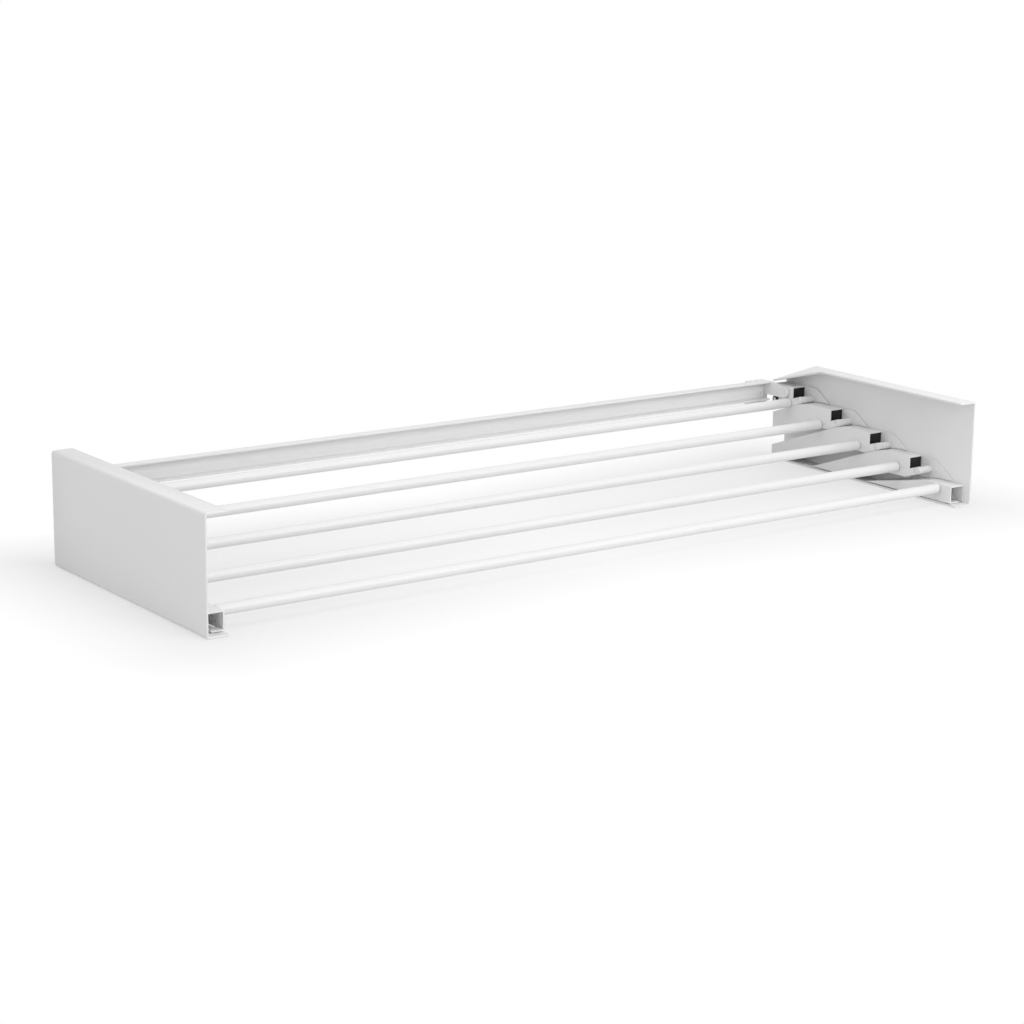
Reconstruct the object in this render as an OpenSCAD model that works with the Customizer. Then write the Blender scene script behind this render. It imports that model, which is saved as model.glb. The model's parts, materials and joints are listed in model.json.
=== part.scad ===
// Wall mounted fold down drying rack. Two channel end plates carry ten channel arms in steps, and
// five tube rods run between them. The whole frame hinges on two brackets that a rail joins.
// It is drawn folded down, ready for use, and folds up flat against the wall.
// +X runs along the wall, +Y goes into the wall and +Z is up. The origin lies on the wall, in the
// middle of the four wall holes.
//
// Pieces are placed in plate coordinates: x from the outer face of an end plate inwards, y from its
// front edge to the rear, z from its bottom edge up. The right-hand pieces are mirrored copies.

/* [End plates] */
// Length of the rack over both end plates
rack_l = 1000; // [600:10:1400]
// Depth of an end plate, front edge to rear edge
plate_d = 322; // [300:1:350]
// Height of an end plate
plate_h = 122; // [118:0.5:130]
// Width of an end plate over its flanges
plate_w = 24; // [22:0.5:28]
// Sheet thickness of an end plate
plate_t = 2; // [1.6:0.1:2.8]
// Outer radius of its bends
plate_bend_r = 3.2; // [3:0.1:4]
// Depth of the slant at the right end plate's top rear corner, along its outer face
slant_out = 53; // [45:1:70]
// Depth of the same slant along the flange's inner edge
slant_in = 85; // [75:1:120]
// Rise of the slant's rear edge above the top arm's top
slant_rise = 4; // [3.5:0.1:8]

/* [Arms] */
// Sheet thickness of the arms
arm_t = 1.5; // [1:0.1:1.8]
// Stand-off of the arms' outer webs from the end plates
arm_gap = 0.6; // [0.4:0.1:0.8]
// Height of a stepped arm's webs
arm_h = 25; // [23:0.5:26]
// Step down from one stepped arm to the next
arm_step = 16.3; // [15.8:0.1:16.8]
// Step down from the lowest of them to the front arm
front_step = 22.6; // [22:0.1:24]
// Setback of the front arm's mouth from the end plate's front edge
mouth_front = 9; // [7:0.5:14]
// Setback of the rear arm's mouth from the end plate's rear edge
mouth_rear = 37; // [36:0.1:39]
// Clear height of a stepped arm's mouth
mouth_h = 12.5; // [10:0.5:13]
// Straight length of an arm's top behind its mouth
arm_flat = 32; // [30:0.5:36]
// Radius of the bend between an arm's top and its tail
arm_bend_r = 100; // [80:1:110]
// Slope of the stepped arms' tails
tail_slope = 20; // [18:0.5:22]
// Slope of the front arm's tail
front_slope = 11.5; // [10:0.5:13]
// Height of the front arm
front_arm_h = 20; // [19:0.5:21]
// Width of the lips under the mouths
lip_w = 14; // [8:0.5:16]
// Length of the same lips
lip_l = 10; // [5:0.5:10]
// Reach of the outer web's lobe that stays level in front of the mouth
lobe_flat = 16; // [12:0.5:18]
// Radius of the lobe's shoulder
lobe_r = 14; // [10:0.5:16]
// Slope of the lobe's front edge
lobe_slope = 33; // [30:1:38]
// Reach of the tie pin in front of the mouth
tie_reach = 13; // [11:0.5:14]
// Diameter of the tie pin
tie_dia = 8.5; // [6:0.5:9]
// Length of the plug in a stepped arm's mouth
plug_l = 3.5; // [3:0.1:4]
// Setback of the plug's face in the mouth
plug_in = 0.6; // [0.2:0.1:1]
// Distance of the nearer stud behind an arm's mouth
stud_near = 28; // [27:1:32]
// Distance from that stud to the further one
stud_pitch = 60; // [50:1:65]
// Setback of the arms' tails from the end plates' rear edges
tail_gap = 2; // [1:0.5:4]

/* [Rods] */
// Outer diameter of a rod
rod_dia = 11.5; // [10:0.5:12]
// Wall of the rod's tube
rod_wall = 1; // [0.8:0.1:1.2]
// Setback of the front rod from the end plate's front edge
rod_front = 30; // [28:0.5:33]
// Distance from one of the four front rods to the next
rod_pitch = 68; // [66:0.5:69]
// Setback of the rear rod from the end plate's rear edge
rod_rear = 31; // [29:0.5:32]
// Depth of the second rod from the front below its arm's top
rod_drop = 15; // [14:0.1:15.5]
// Further depth of each rod behind that one
rod_lag = 3; // [2:0.1:3.2]
// Length of a rod cap's collar
cap_l = 4; // [3:0.5:5]
// Length of the spigot that a rod cap has inside the tube
spigot_l = 14; // [12:0.5:18]
// Radius of the collar's rounded end
cap_round = 2.5; // [1.5:0.5:2.5]

/* [Hinge] */
// Gap from the end plates' rear edges to the wall
wall_gap = 20; // [20:0.5:24]
// Distance of the hinge axis from the end plates' rear edges
hinge_back = 24; // [23.5:0.1:24.5]
// Depth of the hinge axis below the top arm's top
hinge_drop = 8; // [7.6:0.1:8]
// Diameter of the hinge pin
pin_dia = 6; // [5:0.5:6]
// Wall of the hinge bushes
bush_wall = 1.1; // [0.8:0.1:1.2]
// Radius of the bushes' flanges
bush_flange_r = 6; // [5.5:0.1:6.2]
// Thickness of the same flanges
bush_flange_t = 1; // [0.8:0.1:1.2]

/* [Brackets] */
// Thickness of the bracket's wall plate
base_t = 3; // [2.5:0.1:3.5]
// Height of the bracket
bracket_h = 38; // [37:0.5:42]
// Gap that lets the end plate turn beside the bracket's wall plate
turn_gap = 0.6; // [0.4:0.1:1]
// Width of the boss that carries the rail's end
boss_w = 10; // [9:0.5:12]
// Thickness of the bracket's ear
ear_t = 3; // [2.5:0.1:3.5]
// Radius of the ear's nose
ear_nose_r = 7; // [6:0.5:7.5]
// Depth of the rib that runs down from the ear
rib_d = 11; // [8:0.5:12]

/* [Rail] */
// Height of the rail
rail_h = 23; // [21:0.5:24]
// Rise of the rail's top above the top arm's top
rail_rise = 1.7; // [0.5:0.1:3]
// Depth of the rail, which leaves room for the wall screws' heads behind it
rail_d = 14; // [12:0.5:14.5]
// Sheet thickness of the rail
rail_t = 1.8; // [1.2:0.1:2]
// Outer radius of the rail's bends
rail_bend_r = 2.4; // [2.2:0.1:3]

/* [Stops] */
// Diameter of the studs that stop the rack under the ears
stop_dia = 4.5; // [4:0.5:5]
// Distance of the studs behind the hinge axis
stop_reach = 16; // [15:0.5:17]
// Wall of the rubber sleeves on the studs
sleeve_wall = 1.5; // [1:0.1:1.6]

/* [Fasteners] */
// Diameter of the holes for the wall screws
wall_hole_dia = 5.5; // [4.5:0.5:6]
// Distance of the wall holes from the end plate's outer face
wall_hole_x = 46; // [44:0.5:60]
// Distance of the wall holes from the bracket's edges
wall_hole_edge = 6; // [5:0.5:7]
// Diameter of the rod screws
rod_screw_dia = 4; // [3:0.5:4]
// Distance from a rod screw's tip to the end of its spigot
rod_screw_short = 4; // [3:0.5:6]
// Diameter of the studs that are welded inside the end plates
stud_dia = 4; // [3:0.5:4]
// Diameter of the countersunk screws
csk_dia = 4; // [3:0.5:4]

/* [Hidden] */
NODES = [
    "left_hinge_bracket", "right_hinge_bracket", "back_rail", "rail_screws",
    "left_hinge_pin", "right_hinge_pin", "hinge_clips", "spring_washers",
    "left_end_plate", "right_end_plate", "stop_studs", "stop_sleeves",
    "left_arm_1", "left_arm_2", "left_arm_3", "left_arm_4", "left_arm_5",
    "right_arm_1", "right_arm_2", "right_arm_3", "right_arm_4", "right_arm_5",
    "left_plug_1", "left_plug_2", "left_plug_3", "left_plug_4",
    "right_plug_1", "right_plug_2", "right_plug_3", "right_plug_4",
    "left_tie_pins", "right_tie_pins", "left_hinge_bushes", "right_hinge_bushes",
    "rod_1", "rod_2", "rod_3", "rod_4", "rod_5",
    "left_rod_caps", "right_rod_caps", "left_rod_screws", "right_rod_screws",
    "left_weld_studs", "right_weld_studs", "left_stud_nuts", "right_stud_nuts"
];
node = "all";
$fn = 48;

WHITE = [0.93, 0.93, 0.94];
BLACK = [0.08, 0.08, 0.08];
ZINC = [0.72, 0.73, 0.75];
NYLON = [0.88, 0.87, 0.82];
RUBBER = [0.12, 0.12, 0.12];

// Clearances: play of a running pin, gap at a seat, gap between stacked arms, slack round a screw
run_play = 0.05;
seat_gap = 0.2;
stack_gap = 0.4;
screw_slack = 0.2;
// Room past a rod screw's tip in its bore
screw_tip_room = 2;
// Small overshoot of a cutting shape
eps = 1;
// Segments in the bend of an arm's top, and in a web's underside
BEND_STEPS = 10;
UNDER_STEPS = 12;

// Arms and rods are numbered from the wall to the front
ARMS = [1, 2, 3, 4, 5];
STEPPED = [1, 2, 3, 4];
FRONT = len(ARMS);

// Rear plane of the wall brackets, which is the wall
wall_y = plate_d + wall_gap;
// Mouth corners, the top front corner of each arm's inner web. The front arm stands on the end
// plate's lower bend, and the stepped arms are stacked up from there.
mouth_pitch = (plate_d - mouth_rear - mouth_front) / (FRONT - 1);
front_arm_z = plate_bend_r + front_arm_h;
top_arm_z = front_arm_z + front_step + (len(STEPPED) - 1) * arm_step;
function mouth_y(k) = mouth_front + (FRONT - k) * mouth_pitch;
function mouth_z(k) = k == FRONT ? front_arm_z : top_arm_z - (k - 1) * arm_step;
// Drop from one arm's top to the next one's
function drop_after(k) = mouth_z(k) - mouth_z(k + 1);
// Rod axes: four evenly spaced from the front, and the rear rod close to the hinge. The front rod's
// screw fits under its arm's flange, and the rear rod's between the lip and the web's underside.
lip_low = -2 * arm_t - mouth_h;
function rod_y(k) = k == 1 ? plate_d - rod_rear : rod_front + (FRONT - k) * rod_pitch;
function rod_z(k) = k == FRONT ? front_arm_z - arm_t - stack_gap - screw_head_r
    : k == 1 ? top_arm_z + (lip_low + over_next(arm_step, rod_y(k) - mouth_y(k))) / 2
    : mouth_z(k) - rod_drop - (FRONT - 1 - k) * rod_lag;
// Hinge axis
hinge_y = plate_d - hinge_back;
hinge_z = top_arm_z - hinge_drop;
// Rail and brackets, and the middle of the wall holes
rail_high = top_arm_z + rail_rise;
rail_mid = rail_high - rail_h / 2;
rail_back = plate_d + rail_d;
rail_web_y = rail_back - rail_t;
bracket_low = rail_high - bracket_h;
mount_z = rail_high - bracket_h / 2;
// Planes across the arms' channel, as x
web_in = plate_w - arm_t;
web_start = plate_t + arm_gap;
web_out = web_start + arm_t;
// Stack of the hinge, as x
ear_x = plate_w + bush_flange_t + 2 * run_play;
ear_end = ear_x + ear_t;
bush_in = web_out + bush_flange_t;
washer_t = 1.2;
clip_t = 1;
washer_x = bush_in + seat_gap;
clip_x = washer_x + washer_t + run_play;
// Heads and nuts
screw_head_r = rod_screw_dia * 0.875;
screw_head_h = rod_screw_dia * 0.6;
nut_af = stud_dia * 1.75;
nut_h = stud_dia * 0.8;
stud_end = web_out + nut_h + stud_dia * 0.4;
csk_head_r = csk_dia * 0.95;
csk_head_h = csk_dia * 0.45;
stop_r = stop_dia / 2;
rod_screw_end = plate_w + cap_l + spigot_l - rod_screw_short;
// The studs' sleeves touch the underside of the ears
stop_at = [hinge_y + stop_reach, hinge_z - ear_nose_r - seat_gap - stop_r - sleeve_wall];
collar_r = stud_dia * 0.9;
tie_r = tie_dia / 2;
// The web's nose is a little larger than the pin, and clears the next arm's top
nose_r = tie_r + 0.3;
tie_z = -arm_step - top_fall(mouth_pitch - tie_reach, tail_slope) + stack_gap + nose_r;
// Distance between a bracket's rail screws, and their place in its boss
rail_screw_gap = 9;
rail_screw_x = ear_end + boss_w / 2;

// ---- Places ----

module from_plate() translate([-rack_l / 2, -wall_y, -mount_z]) children();
module on_side(side) {
    if (side == "left") from_plate() children();
    else mirror([1, 0, 0]) from_plate() children();
}
// A flat outline drawn as [y, z] and given thickness from x0 to x1
module slab(x0, x1) translate([x0, 0, 0]) rotate([90, 0, 90]) linear_extrude(x1 - x0) children();
// A cylinder along x at a place [y, z], and one along y at a place [x, z]
module along_x(x0, x1, at, r) translate([x0, at[0], at[1]]) rotate([0, 90, 0]) cylinder(r = r, h = x1 - x0);
module along_y(y0, y1, at, r1, r2) {
    translate([at[0], y0, at[1]]) rotate([-90, 0, 0]) cylinder(r1 = r1, r2 = r2, h = y1 - y0);
}
module ring_x(x0, x1, at, r_out, r_in) difference() {
    along_x(x0, x1, at, r_out);
    along_x(x0 - eps, x1 + eps, at, r_in);
}
// Block between two corners
module block(a, b) translate(a) cube(b - a);

// ---- Arms ----

// Fall of an arm's top at a distance y behind its mouth
function bend_end(slope) = arm_flat + arm_bend_r * sin(slope);
function top_fall(y, slope) = y < arm_flat ? 0
    : y < bend_end(slope) ? arm_bend_r - sqrt(pow(arm_bend_r, 2) - pow(y - arm_flat, 2))
    : arm_bend_r * (1 - cos(slope)) + (y - bend_end(slope)) * tan(slope);
// Line that lies a depth below the arm's top, from its bend to past the end plate's rear edge
function bend_line(depth, slope) = concat(
    [for (i = [0:BEND_STEPS]) let (a = slope * i / BEND_STEPS, r = arm_bend_r - depth)
        [arm_flat + r * sin(a), r * cos(a) - arm_bend_r]],
    [tail_point(depth, slope)]);
// The same line from the mouth on
function top_line(depth, slope) = concat([[0, -depth]], bend_line(depth, slope));
function tail_point(depth, slope) =
    let (r = arm_bend_r - depth, far = plate_d * 0.6)
    [arm_flat + r * sin(slope) + far * cos(slope), r * cos(slope) - arm_bend_r - far * sin(slope)];
function backwards(list) = [for (i = [len(list) - 1:-1:0]) list[i]];
// Underside of a web in front of its full height: it follows the top of an arm that lies a drop lower
function over_next(drop, y) = max(-arm_h, -drop - top_fall(y + mouth_pitch, tail_slope) + stack_gap);
function underside(drop, y0) = [for (i = [0:UNDER_STEPS])
    let (y = y0 + (arm_flat * 0.75 - y0) * i / UNDER_STEPS) [y, over_next(drop, y)]];
// Outline of a stepped web from its mouth round the tail to a place y0 on its underside
function web_points(drop, y0) = concat(top_line(0, tail_slope), backwards(bend_line(arm_h, tail_slope)),
    backwards(underside(drop, y0)));

// Outline of the inner web, with the nose that holds the tie pin
module inner_outline() {
    polygon(concat(web_points(arm_step, -tie_reach), [[-tie_reach, tie_z + nose_r], [0, -arm_t - mouth_h]]));
    translate([-tie_reach, tie_z]) circle(nose_r);
}

// Outline of the outer web, with the lobe that runs down to the next arm
module outer_outline(k) {
    shoulder = [for (i = [0:6]) let (a = lobe_slope * i / 6)
        [-lobe_flat - lobe_r * sin(a), lobe_r * cos(a) - lobe_r]];
    last = shoulder[len(shoulder) - 1];
    toe_z = stack_gap - drop_after(k);
    toe_y = last[0] - (last[1] - toe_z) / tan(lobe_slope);
    polygon(concat(backwards(shoulder), web_points(drop_after(k), arm_flat - mouth_pitch), [[toe_y, toe_z]]));
}

module front_outline() polygon(concat(top_line(0, front_slope), [[0, tail_point(0, front_slope)[1]]]));
// Thin strip along an arm's top, which is its flange
module flange_outline(slope) polygon(concat(top_line(0, slope), backwards(top_line(arm_t, slope))));

// Keeps an arm's outline inside its end plate: above the lower bend and short of the rear edge
module inside_plate(k) intersection() {
    translate([mouth_y(k), mouth_z(k)]) children();
    translate([0, plate_bend_r]) square([plate_d - tail_gap, plate_h]);
}

// Weld studs of an arm, as [y, z] from its mouth corner: along the middle of its outer web, or one
// above the other in the short rear arm
function stud_z(k, y) = k == FRONT ? -(top_fall(y, front_slope) + arm_t + front_arm_h) / 2
    : -top_fall(y, tail_slope) - arm_h / 2;
function studs(k) = k == 1 ? [for (part = [0.25, 0.75]) [stud_near, -arm_h * part]]
    : [for (y = [stud_near, stud_near + stud_pitch]) [y, stud_z(k, y)]];
function from_mouth(k, p) = [mouth_y(k) + p[0], mouth_z(k) + p[1]];
function tie_at(k) = from_mouth(k, [-tie_reach, tie_z]);
function rod_at(k) = [rod_y(k), rod_z(k)];

module arm(k) color(WHITE) difference() {
    union() {
        slab(web_in, plate_w) inside_plate(k) {
            if (k == FRONT) front_outline();
            else inner_outline();
        }
        slab(web_start, web_out) inside_plate(k) {
            if (k == FRONT) front_outline();
            else outer_outline(k);
        }
        slab(web_start, plate_w) inside_plate(k) flange_outline(k == FRONT ? front_slope : tail_slope);
        lip(k);
    }
    along_x(web_in - eps, plate_w + eps, rod_at(k), rod_screw_dia / 2 + screw_slack);
    for (p = studs(k)) along_x(plate_t - eps, web_out + eps, from_mouth(k, p), stud_dia / 2 + screw_slack);
    if (k != FRONT) along_x(plate_t - eps, plate_w + eps, tie_at(k), tie_r + run_play);
    if (k == 1) along_x(plate_t - eps, plate_w + eps, [hinge_y, hinge_z], pin_dia / 2 + bush_wall + run_play);
    if (k == 1) along_x(web_in - eps, plate_w + eps, stop_at, stop_r + run_play);
}

// Lip across the bottom of the mouth, at the inner web
module lip(k) {
    lip_z = k == FRONT ? plate_bend_r : mouth_z(k) + lip_low;
    block([plate_w - lip_w, mouth_y(k), lip_z], [plate_w, mouth_y(k) + lip_l, lip_z + arm_t]);
}

module plug(k) color(BLACK)
    block([web_out + seat_gap / 2, mouth_y(k) + plug_in, mouth_z(k) - arm_t - mouth_h + seat_gap / 2],
        [web_in - seat_gap / 2, mouth_y(k) + plug_in + plug_l, mouth_z(k) - arm_t - seat_gap / 2]);

module tie_pins() color(WHITE) for (k = STEPPED)
    along_x(plate_t + seat_gap, plate_w + seat_gap, tie_at(k), tie_r);

// ---- End plates ----

// Rectangle with two round corners on the side x = 0
module round_back(w, h, r) {
    translate([r, 0]) square([w - r, h]);
    translate([0, r]) square([r, h - 2 * r]);
    for (z = [r, h - r]) translate([r, z]) circle(r);
}
// The same, set in from its back, top and bottom, as the hollow of a channel of that thickness
module set_in(w, h, r, inset) translate([inset, inset]) round_back(w, h - 2 * inset, r - inset);
module c_section(w, h, t, r) difference() {
    round_back(w, h, r);
    set_in(w, h, r, t);
}
// A section drawn as [x, z] and run along y
module along_plate(length) translate([0, length, 0]) rotate([90, 0, 0]) linear_extrude(length) children();

module straight_plate() along_plate(plate_d) c_section(plate_w, plate_h, plate_t, plate_bend_r);

// The right plate's top flange bends down at its rear. The crease runs slantwise across the flange,
// and the rear edge is level, so two flat facets make the slant: an outer one that slopes along y,
// and one that tilts about the crease.
slant_h = plate_h - top_arm_z - slant_rise;
outer_slope = atan(slant_h / slant_out);
crease_turn = atan((slant_in - slant_out) / plate_w);
crease_tilt = atan(slant_h / (slant_in * cos(crease_turn)));
// All that lies below the slanted plate's top by an inset, and within its back and bottom
module below_slant(inset) {
    reach = 2 * plate_d;
    intersection() {
        translate([0, -eps * sign(inset), 0]) along_plate(plate_d + 2 * eps * sign(inset))
            set_in(plate_w, plate_h, plate_bend_r, inset);
        translate([0, plate_d, plate_h - slant_h]) rotate([-outer_slope, 0, 0]) translate([0, -reach, -reach])
            along_plate(reach + plate_d) set_in(plate_w, reach, plate_bend_r, inset);
        translate([0, plate_d - slant_out, plate_h]) rotate([0, 0, -crease_turn]) rotate([-crease_tilt, 0, 0])
            translate([-reach, -reach, -reach - inset]) cube([2 * reach, 2 * reach, reach]);
    }
}
module slanted_plate() difference() {
    below_slant(0);
    below_slant(plate_t);
}

module left_end_plate() color(WHITE) on_side("left") straight_plate();
module right_end_plate() color(WHITE) on_side("right") slanted_plate();

// Weld studs with a collar that keeps the arm off the end plate
module weld_studs() color(ZINC) for (k = ARMS, p = studs(k)) {
    along_x(plate_t, web_start, from_mouth(k, p), collar_r);
    along_x(plate_t, stud_end, from_mouth(k, p), stud_dia / 2);
}
module stud_nuts() color(ZINC) for (k = ARMS, p = studs(k)) difference() {
    translate([web_out, from_mouth(k, p)[0], from_mouth(k, p)[1]]) rotate([0, 90, 0])
        cylinder(d = nut_af / cos(30), h = nut_h, $fn = 6);
    along_x(web_out - eps, stud_end + eps, from_mouth(k, p), stud_dia / 2 + run_play);
}

// ---- Rods ----

module rod(k) color(WHITE) from_plate()
    ring_x(plate_w + cap_l, rack_l - plate_w - cap_l, rod_at(k), rod_dia / 2, rod_dia / 2 - rod_wall);

module rod_caps() {
    spigot_r = rod_dia / 2 - rod_wall - run_play;
    color(WHITE) for (k = ARMS) difference() {
        translate([plate_w, rod_y(k), rod_z(k)]) rotate([0, 90, 0]) rotate_extrude() {
            translate([0, cap_round]) square([rod_dia / 2, cap_l - cap_round]);
            square([rod_dia / 2 - cap_round, cap_round]);
            intersection() {
                translate([rod_dia / 2 - cap_round, cap_round]) circle(cap_round);
                square([rod_dia / 2, cap_round]);
            }
            translate([0, cap_l]) square([spigot_r, spigot_l]);
        }
        along_x(plate_w - eps, rod_screw_end + screw_tip_room, rod_at(k), rod_screw_dia / 2 + run_play);
    }
}

module rod_screws() color(ZINC) for (k = ARMS) {
    along_x(web_in - screw_head_h, web_in, rod_at(k), screw_head_r);
    along_x(web_in - run_play, rod_screw_end, rod_at(k), rod_screw_dia / 2);
}

// ---- Hinge ----

module hinge_pin() color(ZINC) along_x(plate_t + 2 * seat_gap, ear_end, [hinge_y, hinge_z], pin_dia / 2);

module hinge_bushes() {
    bore = pin_dia / 2 + run_play;
    outer = pin_dia / 2 + bush_wall;
    at = [hinge_y, hinge_z];
    color(NYLON) difference() {
        union() {
            along_x(web_in, plate_w, at, outer);
            along_x(plate_w, plate_w + bush_flange_t, at, bush_flange_r);
            along_x(plate_t + seat_gap, web_out, at, outer);
            along_x(web_out, bush_in, at, bush_flange_r);
        }
        along_x(plate_t - eps, ear_end, at, bore);
    }
}

module spring_washer() color(ZINC)
    ring_x(washer_x, washer_x + washer_t, [hinge_y, hinge_z], bush_flange_r - seat_gap,
        pin_dia / 2 + run_play);
module hinge_clip() color(ZINC)
    ring_x(clip_x, clip_x + clip_t, [hinge_y, hinge_z], pin_dia / 2 + 2 * clip_t, pin_dia / 2);

// ---- Wall brackets, rail and stops ----

module hinge_bracket() color(WHITE) difference() {
    base_y = wall_y - base_t;
    rib_y = wall_y - rib_d;
    union() {
        block([plate_w + turn_gap, base_y, bracket_low], [wall_hole_x + wall_hole_edge, wall_y, rail_high]);
        block([ear_x, rail_back, rail_high - rail_h], [ear_end + boss_w, wall_y, rail_high]);
        slab(ear_x, ear_end) {
            polygon([[wall_y, bracket_low], [rib_y, bracket_low], [rib_y, hinge_z - ear_nose_r],
                [hinge_y, hinge_z - ear_nose_r], [hinge_y, hinge_z + ear_nose_r], [plate_d, rail_high],
                [wall_y, rail_high]]);
            translate([hinge_y, hinge_z]) circle(ear_nose_r);
        }
    }
    along_x(ear_x - eps, ear_end + eps, [hinge_y, hinge_z], pin_dia / 2 + run_play);
    for (z = [bracket_low + wall_hole_edge, rail_high - wall_hole_edge])
        along_y(base_y - eps, wall_y + eps, [wall_hole_x, z], wall_hole_dia / 2, wall_hole_dia / 2);
    for (z = [-1, 1] * rail_screw_gap / 2)
        along_y(rail_back - eps, wall_y + eps, [rail_screw_x, rail_mid + z],
            csk_dia / 2 + run_play, csk_dia / 2 + run_play);
}

module back_rail() {
    rail_end = ear_end + seat_gap;
    color(WHITE) from_plate() difference() {
        slab(rail_end, rack_l - rail_end) translate([rail_back, rail_high - rail_h]) mirror([1, 0])
            c_section(rail_d, rail_h, rail_t, rail_bend_r);
        for (x = [rail_screw_x, rack_l - rail_screw_x], z = [-1, 1] * rail_screw_gap / 2) {
            along_y(rail_web_y - eps, rail_back + eps, [x, rail_mid + z],
                csk_dia / 2 + screw_slack, csk_dia / 2 + screw_slack);
            along_y(rail_web_y - run_play, rail_web_y + csk_head_h + screw_slack, [x, rail_mid + z],
                csk_head_r + screw_slack, csk_dia / 2 + screw_slack);
        }
    }
}

// Countersunk screws through the rail's web into the brackets' bosses
module rail_screw_pair() color(ZINC) for (z = [-1, 1] * rail_screw_gap / 2) {
    at = [rail_screw_x, rail_mid + z];
    along_y(rail_web_y, rail_web_y + csk_head_h, at, csk_head_r, csk_dia / 2);
    along_y(rail_web_y + csk_head_h, wall_y - seat_gap, at, csk_dia / 2, csk_dia / 2);
}

// Studs riveted to the top arms' inner webs, and the sleeves that land under the ears
module stop_stud() color(ZINC) {
    along_x(web_in - stop_r, web_in, stop_at, stop_r + sleeve_wall);
    along_x(web_in - run_play, ear_end, stop_at, stop_r);
}
module stop_sleeve() color(RUBBER)
    ring_x(plate_w + seat_gap, ear_end - seat_gap, stop_at, stop_r + sleeve_wall, stop_r + run_play);

// ---- Nodes ----

function wanted(name) = node == "all" || node == name;

if (wanted("back_rail")) back_rail();
if (wanted("left_end_plate")) left_end_plate();
if (wanted("right_end_plate")) right_end_plate();
for (k = ARMS) if (wanted(str("rod_", k))) rod(k);
for (side = ["left", "right"]) on_side(side) {
    if (wanted("rail_screws")) rail_screw_pair();
    if (wanted("hinge_clips")) hinge_clip();
    if (wanted("spring_washers")) spring_washer();
    if (wanted("stop_studs")) stop_stud();
    if (wanted("stop_sleeves")) stop_sleeve();
    if (wanted(str(side, "_hinge_bracket"))) hinge_bracket();
    if (wanted(str(side, "_hinge_pin"))) hinge_pin();
    for (k = ARMS) if (wanted(str(side, "_arm_", k))) arm(k);
    for (k = STEPPED) if (wanted(str(side, "_plug_", k))) plug(k);
    if (wanted(str(side, "_tie_pins"))) tie_pins();
    if (wanted(str(side, "_hinge_bushes"))) hinge_bushes();
    if (wanted(str(side, "_rod_caps"))) rod_caps();
    if (wanted(str(side, "_rod_screws"))) rod_screws();
    if (wanted(str(side, "_weld_studs"))) weld_studs();
    if (wanted(str(side, "_stud_nuts"))) stud_nuts();
}
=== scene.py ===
"""Looks of the wall mounted fold down drying rack: finishes, eased sheet edges and detailed hardware."""

import json
import math

import bmesh
import bpy
import numpy as np
from mathutils import Matrix, Vector

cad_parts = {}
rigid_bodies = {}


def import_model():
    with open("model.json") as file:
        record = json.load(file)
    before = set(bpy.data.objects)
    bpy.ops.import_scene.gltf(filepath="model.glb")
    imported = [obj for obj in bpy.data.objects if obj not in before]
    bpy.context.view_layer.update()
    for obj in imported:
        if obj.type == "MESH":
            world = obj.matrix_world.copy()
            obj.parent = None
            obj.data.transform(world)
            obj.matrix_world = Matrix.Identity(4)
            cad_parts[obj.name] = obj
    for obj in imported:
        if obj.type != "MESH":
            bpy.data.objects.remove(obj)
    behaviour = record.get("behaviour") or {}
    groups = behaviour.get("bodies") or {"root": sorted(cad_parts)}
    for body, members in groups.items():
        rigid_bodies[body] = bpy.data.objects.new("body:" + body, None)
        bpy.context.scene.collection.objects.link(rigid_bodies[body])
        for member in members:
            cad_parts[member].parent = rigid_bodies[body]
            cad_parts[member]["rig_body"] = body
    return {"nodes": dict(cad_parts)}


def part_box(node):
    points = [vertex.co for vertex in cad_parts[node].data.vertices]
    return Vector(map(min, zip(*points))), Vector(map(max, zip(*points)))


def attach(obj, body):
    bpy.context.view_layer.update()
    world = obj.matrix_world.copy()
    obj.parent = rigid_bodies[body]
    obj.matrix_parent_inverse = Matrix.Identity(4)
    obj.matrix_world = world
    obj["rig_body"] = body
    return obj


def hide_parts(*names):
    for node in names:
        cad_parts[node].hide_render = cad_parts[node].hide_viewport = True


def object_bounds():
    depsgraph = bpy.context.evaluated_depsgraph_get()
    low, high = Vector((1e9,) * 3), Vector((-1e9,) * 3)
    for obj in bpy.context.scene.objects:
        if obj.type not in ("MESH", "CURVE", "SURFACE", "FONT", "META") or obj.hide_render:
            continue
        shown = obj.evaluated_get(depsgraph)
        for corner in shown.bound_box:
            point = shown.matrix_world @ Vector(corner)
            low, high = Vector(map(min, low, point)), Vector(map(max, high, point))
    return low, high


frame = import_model()
CAD_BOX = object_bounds()

MM = 0.001
SIDES = ("left", "right")
ARMS = range(1, 6)
STEPPED = range(1, 5)
SCENE = bpy.context.scene


# ---------------------------------------------------------------- materials

class Value:
    """A number socket. Each operator on it adds one Math node, so shader maths reads as an expression."""

    def __init__(self, tree, socket):
        self.tree = tree
        self.socket = socket

    def maths(self, operation, other=0.0, swapped=False):
        """The result of a Math node on this value and another, or on the other and this one if swapped."""
        first, second = (other, self) if swapped else (self, other)
        node = self.tree.add("ShaderNodeMath", {"operation": operation}, {0: first, 1: second})
        return Value(self.tree, node.outputs[0])

    def __abs__(self):
        return self.maths("ABSOLUTE")

    def __add__(self, other):
        return self.maths("ADD", other)

    def __sub__(self, other):
        return self.maths("SUBTRACT", other)

    def __rsub__(self, other):
        return self.maths("SUBTRACT", other, swapped=True)

    def __mul__(self, other):
        return self.maths("MULTIPLY", other)

    def __pow__(self, other):
        return self.maths("POWER", other)

    def __rpow__(self, other):
        return self.maths("POWER", other, swapped=True)

    def __lt__(self, other):
        return self.maths("LESS_THAN", other)

    def __gt__(self, other):
        return self.maths("GREATER_THAN", other)

    __radd__ = __add__
    __rmul__ = __mul__


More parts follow.
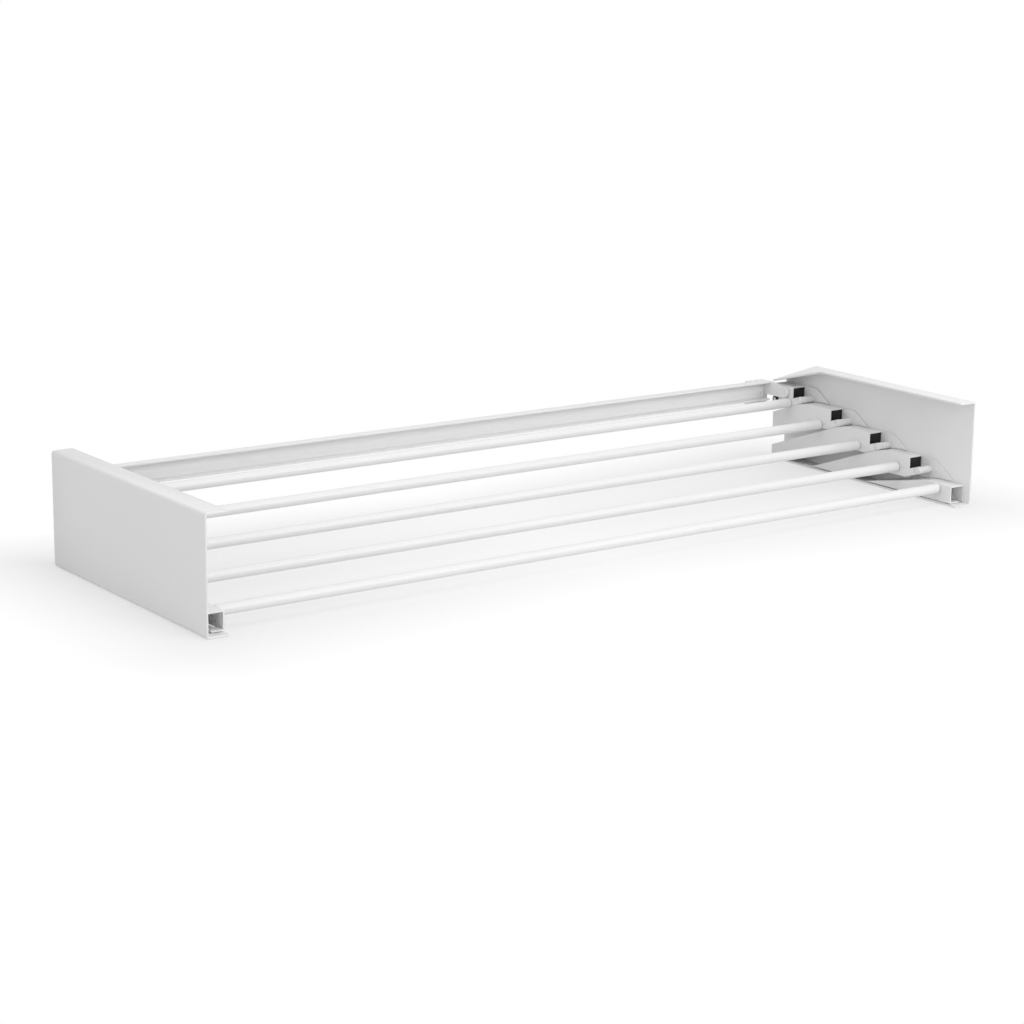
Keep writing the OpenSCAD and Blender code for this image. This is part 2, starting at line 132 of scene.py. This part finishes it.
class Nodes:
    """The nodes of a material or of the world."""

    def __init__(self, owner):
        owner.use_nodes = True
        self.nodes, self.links = owner.node_tree.nodes, owner.node_tree.links

    def add(self, kind, settings=None, inputs=None):
        """Adds a node: settings are its properties, inputs the numbers, colours or links of its sockets."""
        node = self.nodes.new(kind)
        for name, value in (settings or {}).items():
            setattr(node, name, value)
        for name, value in (inputs or {}).items():
            self.join(node.inputs[name], value)
        return node

    def join(self, socket, value):
        """Links a socket to a value or to another node's socket, or sets it to a number or a colour."""
        value = value.socket if isinstance(value, Value) else value
        if isinstance(value, bpy.types.NodeSocket):
            self.links.new(value, socket)
        else:
            socket.default_value = value

    def seen(self):
        """1 for rays of the camera, a reflection or glass and 0 for others: the greatest of their flags."""
        rays = self.add("ShaderNodeLightPath").outputs
        flag = Value(self, rays["Is Camera Ray"])
        for name in ("Is Glossy Ray", "Is Transmission Ray"):
            flag = flag.maths("MAXIMUM", rays[name])
        return flag

    def mixed(self, factor, first, second):
        """Mixes two shaders: the first at a factor of 0, the second at 1."""
        return self.add("ShaderNodeMixShader", inputs={0: factor, 1: first, 2: second}).outputs[0]


class Finish(Nodes):
    """One procedural material on a Principled shader, read in object coordinates."""

    def __init__(self, name, **constants):
        self.material = bpy.data.materials.new(name)
        super().__init__(self.material)
        self.shader = self.nodes["Principled BSDF"]
        self.place = self.add("ShaderNodeTexCoord").outputs["Object"]
        for socket, value in constants.items():
            self.join(self.shader.inputs[socket.replace("_", " ")], value)

    def stretched(self, along_x, along_y, along_z):
        """Object coordinates with each axis times its own number, for grain that runs one way."""
        scale = (along_x, along_y, along_z)
        return self.add("ShaderNodeMapping", inputs={"Vector": self.place, "Scale": scale}).outputs[0]

    def noise(self, size, detail=2.0, place=None):
        """Soft noise from 0 to 1 whose lumps are about size metres across."""
        node = self.add("ShaderNodeTexNoise", inputs={
            "Vector": place or self.place, "Scale": 1 / size, "Detail": detail})
        return Value(self, node.outputs["Fac"])

    def cells(self, size):
        """Distance to the nearest of random points about size metres apart, as a share of size."""
        node = self.add("ShaderNodeTexVoronoi", inputs={"Vector": self.place, "Scale": 1 / size})
        return Value(self, node.outputs["Distance"])

    def colours(self, factor, first, second):
        """Sets the surface's colour: the first at a factor of 0, the second at 1."""
        # A Mix node's colours are its sockets 6 and 7, and their mix is its output 2
        colour = {0: factor, 6: (*first, 1), 7: (*second, 1)}
        node = self.add("ShaderNodeMix", {"data_type": "RGBA", "clamp_factor": True}, colour)
        self.join(self.shader.inputs["Base Color"], node.outputs[2])

    def roughness(self, value):
        """Sets the surface's roughness."""
        self.join(self.shader.inputs["Roughness"], value)

    def relief(self, height, depth):
        """Bumps the surface by a height from 0 to 1 that stands for depth metres."""
        node = self.add("ShaderNodeBump", inputs={"Height": height, "Distance": depth, "Strength": 1.0})
        self.join(self.shader.inputs["Normal"], node.outputs[0])


def powder_coat():
    """Satin white powder coat: orange peel, a finer grain in it and rare inclusions under the surface."""
    coat = Finish("powder coat white", IOR=1.5, Coat_Roughness=0.3, Coat_Weight=0.12)
    cloud = coat.noise(0.11, detail=3.0)
    inclusion = coat.cells(0.009) < 0.045
    coat.colours(cloud * 0.8 + inclusion * 0.5 + 0.1, (0.80, 0.797, 0.799), (0.772, 0.768, 0.77))
    peel = coat.noise(0.0021, detail=1.0)
    grain = coat.noise(0.00045)
    coat.roughness(peel * 0.10 + cloud * 0.06 + 0.34)
    coat.relief(peel * 0.8 + grain * 0.2, depth=0.00002)
    return coat.material


def cap_plastic():
    """White moulded plastic with a fine sparked texture and flow marks along the rod."""
    plastic = Finish("moulded plastic white", IOR=1.46)
    flow = plastic.noise(0.004, detail=3.0, place=plastic.stretched(0.3, 1, 1))
    plastic.colours(flow, (0.81, 0.808, 0.81), (0.78, 0.777, 0.78))
    sparked = plastic.cells(0.00035)
    plastic.roughness(flow * 0.12 + 0.36)
    plastic.relief(sparked, depth=0.00001)
    return plastic.material


def plug_plastic():
    """Black moulded plastic, dull, with a sparked texture that catches a little light."""
    plastic = Finish("moulded plastic black", IOR=1.45)
    flow = plastic.noise(0.006, detail=3.0)
    plastic.colours(flow, (0.004, 0.004, 0.0045), (0.009, 0.009, 0.0095))
    sparked = plastic.cells(0.0004)
    plastic.roughness(sparked * 0.15 + flow * 0.1 + 0.5)
    plastic.relief(sparked, depth=0.00003)
    return plastic.material


def natural_nylon():
    """Unfilled nylon, cream and waxy, with faint turning marks round the bore."""
    nylon = Finish("natural nylon", IOR=1.53)
    cloud = nylon.noise(0.003, detail=3.0)
    nylon.colours(cloud, (0.78, 0.75, 0.66), (0.70, 0.67, 0.57))
    marks = nylon.noise(0.0003, detail=1.0, place=nylon.stretched(3, 1, 1))
    nylon.roughness(marks * 0.2 + 0.32)
    nylon.relief(marks, depth=0.000008)
    return nylon.material


def black_rubber():
    """Black rubber with a greyish bloom and a matt pitted skin."""
    rubber = Finish("black rubber", IOR=1.5)
    bloom = rubber.noise(0.005, detail=4.0)
    rubber.colours(bloom ** 2, (0.012, 0.012, 0.013), (0.05, 0.05, 0.052))
    pits = rubber.cells(0.0006)
    rubber.roughness(bloom * 0.2 + 0.68)
    rubber.relief(pits, depth=0.00003)
    return rubber.material


def zinc_steel():
    """Bright zinc plate on steel: soft spangle in the colour and fine turning lines, duller cell by cell."""
    zinc = Finish("bright zinc plate", Metallic=1.0)
    spangle = zinc.cells(0.0016)
    lines = zinc.noise(0.0008, detail=3.0, place=zinc.stretched(6, 1, 1))
    zinc.colours(spangle * 0.7 + lines * 0.3, (0.70, 0.715, 0.74), (0.55, 0.565, 0.60))
    zinc.roughness(lines * 0.2 + spangle * 0.12 + 0.16)
    zinc.relief(lines, depth=0.000006)
    return zinc.material


FINISHES = {
    "powder_coat": powder_coat(),
    "cap_plastic": cap_plastic(),
    "plug_plastic": plug_plastic(),
    "nylon": natural_nylon(),
    "rubber": black_rubber(),
    "zinc_steel": zinc_steel(),
}


# ---------------------------------------------------------------- meshes and how they are shown

SAME_POINT = 1e-6


def merged(mesh):
    """Merges the points that coincide and turns all faces outwards."""
    shape = bmesh.new()
    shape.from_mesh(mesh)
    bmesh.ops.remove_doubles(shape, verts=shape.verts, dist=SAME_POINT)
    bmesh.ops.dissolve_degenerate(shape, edges=shape.edges, dist=SAME_POINT / 10)
    bmesh.ops.recalc_face_normals(shape, faces=shape.faces)
    shape.to_mesh(mesh)
    shape.free()
    return mesh


def mesh_of(name, points):
    """A mesh from a grid of points, shape (rows, columns, 3). Rows or columns that meet are merged, so a
    grid that comes back to its start is closed, and one that narrows to a point gets a closed pole."""
    rows, columns = points.shape[:2]
    corner = np.arange(rows * columns).reshape(rows, columns)
    quads = np.stack([corner[:-1, :-1], corner[1:, :-1], corner[1:, 1:], corner[:-1, 1:]], -1).reshape(-1, 4)
    mesh = bpy.data.meshes.new(name)
    mesh.from_pydata(points.reshape(-1, 3).tolist(), [], quads.tolist())
    return merged(mesh)


def joined(name, grids):
    """One mesh from several grids of points."""
    shape = bmesh.new()
    for grid in grids:
        part = mesh_of(name, grid)
        shape.from_mesh(part)
        bpy.data.meshes.remove(part)
    mesh = bpy.data.meshes.new(name)
    shape.to_mesh(mesh)
    shape.free()
    return mesh


def show(name, mesh, nodes, slot, crease=40):
    """Shows a mesh in place of CAD nodes, on their body, with a slot's finish. Edges past crease degrees
    stay sharp, and a crease of 0 leaves them to a modifier."""
    mesh.polygons.foreach_set("use_smooth", [True] * len(mesh.polygons))
    if crease:
        mesh.set_sharp_from_angle(angle=math.radians(crease))
    mesh.materials.clear()
    mesh.materials.append(FINISHES[slot])
    piece = bpy.data.objects.new(name, mesh)
    SCENE.collection.objects.link(piece)
    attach(piece, frame["nodes"][nodes[0]]["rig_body"])
    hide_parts(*nodes)
    return piece


def eased(node, radius, slot="powder_coat"):
    """A copy of a CAD node's mesh with its flat faces made whole and its sharp edges rounded by a radius in
    millimetres."""
    flat, sharp = math.radians(0.4), math.radians(35)
    mesh = frame["nodes"][node].data.copy()
    mesh.name = node + "_eased"
    shape = bmesh.new()
    shape.from_mesh(mesh)
    bmesh.ops.remove_doubles(shape, verts=shape.verts, dist=2 * SAME_POINT)
    bmesh.ops.dissolve_limit(shape, angle_limit=flat, verts=shape.verts, edges=shape.edges,
                             use_dissolve_boundaries=False)
    shape.to_mesh(mesh)
    shape.free()
    piece = show(node + "_eased", mesh, [node], slot, crease=0)
    rounding = piece.modifiers.new("edge rounding", "BEVEL")
    rounding.width = radius * MM
    rounding.segments = 2
    rounding.limit_method = "ANGLE"
    rounding.angle_limit = sharp
    rounding.harden_normals = True
    rounding.use_clamp_overlap = True


def solids(node):
    """The lowest and highest corner of each separate solid in a CAD node, sorted by x, then y, then z."""
    shape = bmesh.new()
    shape.from_mesh(frame["nodes"][node].data)
    bmesh.ops.remove_doubles(shape, verts=shape.verts, dist=SAME_POINT)
    unvisited = set(shape.verts)
    boxes = []
    while unvisited:
        island, border = set(), [unvisited.pop()]
        while border:
            vert = border.pop()
            island.add(vert)
            near = {edge.other_vert(vert) for edge in vert.link_edges} & unvisited
            unvisited -= near
            border.extend(near)
        places = np.array([vert.co for vert in island])
        boxes.append((places.min(0), places.max(0)))
    shape.free()
    return sorted(boxes, key=lambda box: (round(box[0][0], 5), *box[0][1:]))


def middle(box):
    """The middle of a box, half the sum of its two corners."""
    return (np.array(box[0]) + np.array(box[1])) / 2


def millimetres(box):
    """The size of a box along each axis, its higher corner less its lower one."""
    return (np.array(box[1]) - np.array(box[0])) / MM


def turn(columns):
    """Angles of a full turn, the last equal to the first, as one row."""
    return np.linspace(0, 2 * math.pi, columns)[None, :]


def revolved(along, radius, origin, axis, angle=None):
    """A profile turned about an axis: each point is origin + along * axis + radius * (u cos a + v sin a),
    with u upwards and v square to u and the axis. along and radius are arrays of shape (rows, columns), one
    column to each angle a. Without angles they go all the way round."""
    along, radius = np.broadcast_arrays(along, radius)
    angle = turn(along.shape[1]) if angle is None else angle
    axis = np.array(axis, float)
    u = np.array([0, 0, 1.0])
    v = np.cross(axis, u)
    round_about = np.cos(angle)[..., None] * u + np.sin(angle)[..., None] * v
    return np.array(origin) + along[..., None] * axis + radius[..., None] * round_about


def turned(profile, origin, axis, columns=49):
    """A round piece: a profile of [along, radius] points in millimetres, the same at each angle."""
    profile = np.array(profile, float) * MM
    shape = np.ones((1, columns))
    return revolved(profile[:, :1] * shape, profile[:, 1:] * shape, origin, axis)


def arc(centre, radius, start, end, steps=6):
    """Points [along, radius] of an arc about a centre, from one angle in degrees to another."""
    angle = np.radians(np.linspace(start, end, steps))
    return [(centre[0] + radius * math.cos(a), centre[1] + radius * math.sin(a)) for a in angle]


# ---------------------------------------------------------------- rods, caps and turned hardware

# In millimetres: the rods' wall, the bore of what runs on the hinge pins, and the paint on the pins' ends
ROD_WALL = 1.0
PIN_BORE = 3.05
PAINT = 0.1


def rods():
    """Tubes with walls, their ends rounded over by a small radius."""
    ease = 0.25
    for number in ARMS:
        node = f"rod_{number}"
        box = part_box(node)
        length, _, across = millimetres(box)
        outer, inner = across / 2, across / 2 - ROD_WALL
        profile = [(0, inner + ease), *arc((ease, outer - ease), ease, 180, 90), (length / 2, outer),
                   *arc((length - ease, outer - ease), ease, 90, 0), (length, inner + ease),
                   (length - ease, inner), (ease, inner), (0, inner + ease)]
        start = (box[0][0], *middle(box)[1:])
        show(node + "_tube", mesh_of(node, turned(profile, start, (1, 0, 0), 65)), [node], "powder_coat")


def along_side(box):
    """A solid's start, which is its end nearer the end plate, the way from there to the middle, its length
    and its greatest radius in millimetres."""
    low, high = box
    way = 1 if low[0] < 0 else -1
    start = (low[0] if way > 0 else high[0], *middle(box)[1:])
    length, _, across = millimetres(box)
    return start, (way, 0, 0), length, across / 2


def lathed(node, slot, profile_of, ending="turned", columns=49):
    """Turns each solid of a node from the profile that its length and radius give."""
    grids = []
    for box in solids(node):
        start, axis, length, radius = along_side(box)
        grids.append(turned(profile_of(length, radius), start, axis, columns))
    show(f"{node}_{ending}", joined(node, grids), [node], slot)


def rod_cap(length, radius):
    """A rounded collar with a fine parting groove next to the rod, and a spigot that fits in the rod."""
    collar, bend, bore, groove, play, chamfer = 4.0, 2.5, 2.05, 0.15, 0.05, 0.8
    spigot = radius - ROD_WALL - play
    return [(collar, bore), (0, bore), (0, radius - bend), *arc((bend, radius - bend), bend, 180, 90, 9),
            (collar - 2 * groove, radius), (collar - groove, radius - groove), (collar, radius - groove),
            (collar, spigot), (length - chamfer, spigot), (length, spigot - chamfer), (length, bore),
            (collar, bore)]


def tie_pin(length, radius):
    """A pin with both ends well rounded."""
    ease = 1.6
    return [(0, 0), *arc((ease, radius - ease), ease, 180, 90, 7),
            *arc((length - ease, radius - ease), ease, 90, 0, 7), (length, 0)]


def bush(length, radius):
    """A flanged bush: its flange at the inner end, its nose chamfered for pressing in."""
    body, flange, nose, ease, chamfer = 4.1, 1.0, 0.35, 0.25, 0.3
    return [(0, PIN_BORE), (0, body - nose), (nose, body), (length - flange, body),
            *arc((length - flange + ease, radius - ease), ease, 180, 90, 4),
            *arc((length - ease, radius - ease), ease, 90, 0, 4), (length, PIN_BORE + chamfer),
            (length - chamfer, PIN_BORE), (0, PIN_BORE)]


def hinge_pin(length, radius):
    """A ground pin with a chamfered tip and the groove that its clip snaps into, cut short by its paint."""
    clip, pin = solids("hinge_clips")[0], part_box("left_hinge_pin")
    near, far = ((clip[end][0] - pin[0][0]) / MM for end in (0, 1))
    depth, chamfer = 0.4, 0.6
    return [(0, 0), (0, radius - chamfer), (chamfer, radius), (near, radius), (near, radius - depth),
            (far, radius - depth), (far, radius), (length - PAINT, radius), (length - PAINT, 0)]


def painted_pin_ends():
    """The hinge pins' ends in the ears, painted over with the brackets: a thin disc with a rounded rim."""
    ease = 0.3
    for side in SIDES:
        node = f"{side}_hinge_pin"
        start, axis, length, radius = along_side(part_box(node))
        disc = [(length - PAINT, 0), (length - PAINT, radius), (length - PAINT / 2, radius),
                (length, radius - ease), (length, 0)]
        show(f"{node}_painted_end", mesh_of(node, turned(disc, start, axis)), [node], "powder_coat")


def stop_stud(length, radius):
    """A riveted stud: a low domed head, a plain shank and a chamfered tip."""
    shank, head, brim, dome, chamfer = 2.25, 2.2, 1.6, 4.6, 0.4
    return [(0, 0), *arc((dome, 0), dome, 180, 125, 7)[1:], (brim, radius), (head, radius), (head, shank),
            (length - chamfer, shank), (length, shank - chamfer), (length, 0)]


def stop_sleeve(length, radius):
    """A tube whose outer edges are rounded and whose bore has small chamfers."""
    bore, ease, chamfer = 2.3, 0.6, 0.15
    return [(0, bore + chamfer), *arc((ease, radius - ease), ease, 180, 90, 5),
            *arc((length - ease, radius - ease), ease, 90, 0, 5), (length, bore + chamfer),
            (length - chamfer, bore), (chamfer, bore), (0, bore + chamfer)]


# ---------------------------------------------------------------- threaded and stamped hardware

def threaded(start, axis, first, last, radius):
    """A screw thread closed by a flat tip: radius less depth times the distance of the phase from a crest,
    where the phase is the fraction of along / pitch - angle / full turn. It runs in over its first turn, and
    near the tip it is cut by a cone."""
    columns, rows_a_turn = 37, 8
    pitch, depth_share, cone_slope, cone_inset, tip_share = 0.7, 0.61, 1.2, 0.35, 0.55
    steps = int((last - first) / pitch * rows_a_turn)
    along = np.linspace(first, last, steps)[:, None] * np.ones((1, columns))
    phase = (along / pitch - turn(columns) / (2 * math.pi)) % 1
    depth = depth_share * pitch * np.clip((along - first) / pitch, 0, 1)
    surface = radius - depth * np.abs(2 * phase - 1)
    surface = np.minimum(surface, radius - cone_inset + cone_slope * (last - along))
    tip = np.array([[last, radius * tip_share], [last, 0]])[:, :, None] * np.ones((1, 1, columns))
    along = np.vstack([along[:1], along, tip[:, 0]])
    surface = np.vstack([surface[:1] * 0, surface, tip[:, 1]])
    return revolved(along * MM, surface * MM, start, axis)


def weld_studs(node):
    """Threaded studs that rise from a bead melted to the sheet. The thread starts inside the bead's end."""
    collar, foot, shank, thread, lap = 0.6, 2.3, 2.0, 2.7, 0.1
    grids = []
    for box in solids(node):
        start, axis, length, radius = along_side(box)
        top = length - thread + lap
        bead = [(0, 0), (0, radius), *arc((0, radius - collar), collar, 90, 25, 4)[1:], (collar, foot),
                (top, shank), (top, 0)]
        grids += [turned(bead, start, axis, 33), threaded(start, axis, length - thread, length, shank)]
    show(node + "_threaded", joined(node, grids), [node], "zinc_steel", crease=32)


def hexagon(angle, across):
    """Radius of a hexagon at each angle, with a corner at angle 0: half its width over the cosine of the
    angle from the middle of the nearest side."""
    sixth = math.pi / 3
    return across / 2 / np.cos(angle % sixth - sixth / 2)


def stud_nuts(node):
    """Hexagon nuts whose corners are turned off at both faces, with a chamfered bore. The radius is the
    least of the hexagon's and of two cones that open away from the faces."""
    across, face_share, bore, chamfer = 7.0, 0.93, 2.05, 0.4
    face = across / 2 * face_share
    near_face = np.array([0, 0.08, 0.18, 0.3, 0.45, 0.6])
    angle = turn(73)
    grids = []
    for box in solids(node):
        start, axis, length, _ = along_side(box)
        rows = np.concatenate([near_face, length - near_face[::-1]])[:, None]
        cone = face + math.sqrt(3) * np.minimum(rows, length - rows)
        side = np.minimum(hexagon(angle, across), cone)
        bores = [(length, bore + chamfer), (length - chamfer, bore), (chamfer, bore), (0, bore + chamfer),
                 (0, face)]
        along = np.vstack([rows * np.ones_like(angle), *[np.full_like(angle, at) for at, _ in bores]])
        radius = np.vstack([side, *[np.full_like(angle, wide) for _, wide in bores]])
        grids.append(revolved(along * MM, radius * MM, start, axis))
    show(node + "_hexagon", joined(node, grids), [node], "zinc_steel", crease=20)


def screw(start, axis, length, head_radius, head, shank, countersunk):
    """A screw with a cross recess. At a point of the face, the recess is as deep as its wing, which is 1
    near the cross's two lines and falls to 0 over a short flank, times a fall from the middle to the wings'
    ends."""
    columns = 97
    half_width, flank, deepest, reach = 0.55, 0.22, 1.25, 0.62
    fall_from, fall_power, neck, point, tip_share = 1.08, 0.6, 0.1, 1.0, 0.45
    crown, brim = (0, 0.05) if countersunk else (0.45, 0.3)
    angle = turn(columns)
    rings = np.concatenate([np.linspace(0, reach, 15), [0.72, 0.82, 0.9, 0.96]])[:, None]
    radius = rings * head_radius
    u, v = radius * np.cos(angle), radius * np.sin(angle)
    wing = np.clip((half_width - np.minimum(np.abs(u), np.abs(v))) / flank, 0, 1)
    depth = deepest * wing * np.clip(fall_from - rings / reach, 0, 1) ** fall_power
    dome = crown * rings ** 2
    face = revolved((dome + depth) * MM, radius * np.ones_like(angle) * MM, start, axis)
    under = shank + neck if countersunk else head_radius
    profile = [(float(dome[-1, 0]), float(radius[-1, 0])), (crown + brim, head_radius), (head, under),
               (head, shank), (length - point, shank), (length, shank * tip_share), (length, 0)]
    return [face, turned(profile, start, axis, columns)]


def rod_screws(node):
    """Cheese head screws inside the arms that hold the rods' caps."""
    grids = []
    for box in solids(node):
        start, axis, length, radius = along_side(box)
        grids += screw(start, axis, length, radius, head=2.4, shank=2.0, countersunk=False)
    show(node + "_cross_head", joined(node, grids), [node], "zinc_steel", crease=32)


def rail_screws():
    """Countersunk screws, painted with the rail, whose faces lie flush in its web."""
    grids = []
    for box in solids("rail_screws"):
        x, _, z = middle(box)
        across, length, _ = millimetres(box)
        start = (x, box[0][1], z)
        grids += screw(start, (0, 1, 0), length, across / 2, head=1.8, shank=2.0, countersunk=True)
    show("rail_screws_cross_head", joined("rail_screws", grids), ["rail_screws"], "powder_coat", crease=32)


def wave_washers():
    """Sprung washers: a flat ring's section carried round while it rises and falls three times, by the
    cosine of three times the angle."""
    sheet, ease, waves = 0.4, 0.08, 3
    angle = turn(61)
    grids = []
    for box in solids("spring_washers"):
        start, axis, length, radius = along_side(box)
        section = np.array([(0, PIN_BORE), (0, radius - ease), (ease, radius), (sheet - ease, radius),
                            (sheet, radius - ease), (sheet, PIN_BORE), (0, PIN_BORE)])[:, :, None]
        along = section[:, 0] + (length - sheet) / 2 * (1 + np.cos(waves * angle))
        grids.append(revolved(along * MM, section[:, 1] * np.ones_like(angle) * MM, start, axis))
    show("spring_washers_waved", joined("spring_washers", grids), ["spring_washers"], "zinc_steel")


def retaining_clips():
    """E clips: a section carried along an open arc. Its inner edge comes inwards at three prongs, by a
    cosine that goes round twice over the arc, steepened, lowered and clipped to between 0 and 1."""
    half_arc, inside, prong_reach, ease = math.radians(148), 3.95, 0.9, 0.1
    steepness, lowering = 3.2, 0.6
    sweep = np.linspace(-half_arc, half_arc, 75)[None, :]
    prong = np.clip(steepness * np.cos(sweep / half_arc * 2 * math.pi) - lowering, 0, 1)
    inner = inside - prong_reach * prong
    grids = []
    for box in solids("hinge_clips"):
        start, axis, length, radius = along_side(box)
        outer = np.full_like(inner, radius)
        section = [(0, inner), (0, outer - ease), (ease, outer), (length - ease, outer),
                   (length, outer - ease), (length, inner), (0, inner)]
        along = np.vstack([np.full_like(sweep, at) for at, _ in section])
        wide = np.vstack([distance for _, distance in section])
        # One more column at each end, drawn to a point, closes the arc
        ends = ((0, 0), (1, 1))
        along = np.pad(along, ends, constant_values=length / 2)
        wide = np.pad(wide, ends, constant_values=(radius + PIN_BORE) / 2)
        grids.append(revolved(along * MM, wide * MM, start, axis, np.pad(sweep, ends, mode="edge")))
    show("hinge_clips_stamped", joined("hinge_clips", grids), ["hinge_clips"], "zinc_steel")


# ---------------------------------------------------------------- the rack's pieces

rods()
for side in SIDES:
    lathed(f"{side}_rod_caps", "cap_plastic", rod_cap, ending="moulded", columns=61)
for side in SIDES:
    lathed(f"{side}_tie_pins", "powder_coat", tie_pin)
    lathed(f"{side}_hinge_bushes", "nylon", bush)
    lathed(f"{side}_hinge_pin", "zinc_steel", hinge_pin)
    weld_studs(f"{side}_weld_studs")
    stud_nuts(f"{side}_stud_nuts")
    rod_screws(f"{side}_rod_screws")
lathed("stop_sleeves", "rubber", stop_sleeve)
lathed("stop_studs", "zinc_steel", stop_stud)
rail_screws()
wave_washers()
retaining_clips()
painted_pin_ends()

for side in SIDES:
    eased(f"{side}_end_plate", radius=0.45)
    eased(f"{side}_hinge_bracket", radius=0.4)
    for number in ARMS:
        eased(f"{side}_arm_{number}", radius=0.3)
    for number in STEPPED:
        eased(f"{side}_plug_{number}", radius=0.5, slot="plug_plastic")
eased("back_rail", radius=0.35)


# ---------------------------------------------------------------- floor, light and camera

WHITE = (1, 1, 1, 1)
SKY = 0.655
RACK_MIDDLE = (0, -0.2, 0)
# The floor's share of glow beside the end plates, and how much a metre adds to it outside and between them:
# painted light that lightens the rack's cast shadow on the floor by place
FLOOR_GLOW = 0.5
GLOW_FADE = 4.0
GLOW_BETWEEN = 0.6


def stage_floor():
    """A white floor under the rack. To the camera, a reflection or glass it is part glow and part its own
    shade. The glow's part is painted light: it is least beside the end plates, grows a little towards the
    middle between them, and grows to all of the floor with the distance from the rack's box, so the rack's
    cast shadow is lightened between the plates and fades out close to the box."""
    low, high = (np.array(corner) for corner in CAD_BOX)
    reach, drop = 12.0, 0.0003
    corners = [(-reach, -reach), (reach, -reach), (reach, reach), (-reach, reach)]
    mesh = bpy.data.meshes.new("floor")
    mesh.from_pydata([(x, y, low[2] - drop) for x, y in corners], [], [(0, 1, 2, 3)])
    floor = bpy.data.objects.new("floor", mesh)
    SCENE.collection.objects.link(floor)
    paint = Finish("studio floor", Base_Color=(0.76, 0.76, 0.76, 1), Roughness=0.9, Specular_IOR_Level=0.1)
    centre, half = (low + high) / 2, (high - low) / 2
    axes = paint.add("ShaderNodeSeparateXYZ", inputs={"Vector": paint.place}).outputs
    # Painted light: the glow's share, set by place, lifts the rack's shadow between the end plates and fades
    # it out within a short distance of the box
    beyond = [abs(Value(paint, axes[i]) - float(centre[i])) - float(half[i]) for i in (0, 1)]
    away = sum(part.maths("MAXIMUM", 0.0) ** 2 for part in beyond) ** 0.5
    between = (0 - beyond[0]).maths("MAXIMUM", 0.0)
    share = (away * GLOW_FADE + between * GLOW_BETWEEN + FLOOR_GLOW).maths("MINIMUM", 1.0)
    glow = paint.add("ShaderNodeEmission", inputs={"Color": WHITE, "Strength": 1.0})
    surface = paint.mixed(paint.seen() * share, paint.shader.outputs[0], glow.outputs[0])
    paint.join(paint.nodes["Material Output"].inputs["Surface"], surface)
    mesh.materials.append(paint.material)


def stage_world():
    """White where the camera, a reflection or glass sees it, and an even grey sky for light."""
    world = bpy.data.worlds.new("studio")
    SCENE.world = world
    tree = Nodes(world)
    sky = tree.add("ShaderNodeBackground", inputs={"Color": WHITE, "Strength": SKY})
    backdrop = tree.add("ShaderNodeBackground", inputs={"Color": WHITE, "Strength": 1.0})
    surface = tree.mixed(tree.seen(), sky.outputs[0], backdrop.outputs[0])
    tree.join(tree.nodes["World Output"].inputs["Surface"], surface)


def softbox(name, place, width, height, watts):
    """A rectangular area light at a place, turned to face the rack's middle."""
    lamp = bpy.data.lights.new(name, "AREA")
    lamp.shape = "RECTANGLE"
    lamp.size, lamp.size_y = width, height
    lamp.energy = watts
    light = bpy.data.objects.new(name, lamp)
    light.location = place
    light.rotation_euler = (Vector(RACK_MIDDLE) - Vector(place)).to_track_quat("-Z", "Y").to_euler()
    SCENE.collection.objects.link(light)


def stage_camera(place, azimuth, elevation, roll, lens):
    """A view from an azimuth and an elevation, rolled a little about its line of sight. The angles are in
    degrees: back points along them from the rack, right is level, and up is square to both."""
    azimuth, elevation, roll = (math.radians(angle) for angle in (azimuth, elevation, roll))
    back = Vector((math.sin(azimuth) * math.cos(elevation), -math.cos(azimuth) * math.cos(elevation),
                   math.sin(elevation)))
    right = Vector((math.cos(azimuth), math.sin(azimuth), 0))
    up = back.cross(right)
    right, up = (math.cos(roll) * right + math.sin(roll) * up, math.cos(roll) * up - math.sin(roll) * right)
    turned_to = Matrix((right, up, back)).transposed()
    data = bpy.data.cameras.new("camera")
    data.lens = lens
    data.sensor_width = 36
    data.clip_end = 100
    camera = bpy.data.objects.new("camera", data)
    camera.matrix_world = Matrix.Translation(place) @ turned_to.to_4x4()
    SCENE.collection.objects.link(camera)
    SCENE.camera = camera


stage_floor()
stage_world()
softbox("overhead box", (0.0, -0.2, 2.2), width=2.6, height=1.8, watts=10)
softbox("front box", (0.8, -2.7, 1.25), width=2.4, height=1.6, watts=38)
softbox("side box", (-3.0, -0.7, 0.9), width=1.6, height=1.4, watts=8)
stage_camera((-1.6210, -2.3880, 0.6093), azimuth=-35.698, elevation=13.595, roll=0.707, lens=90.78)

SCENE.view_settings.view_transform = "Standard"
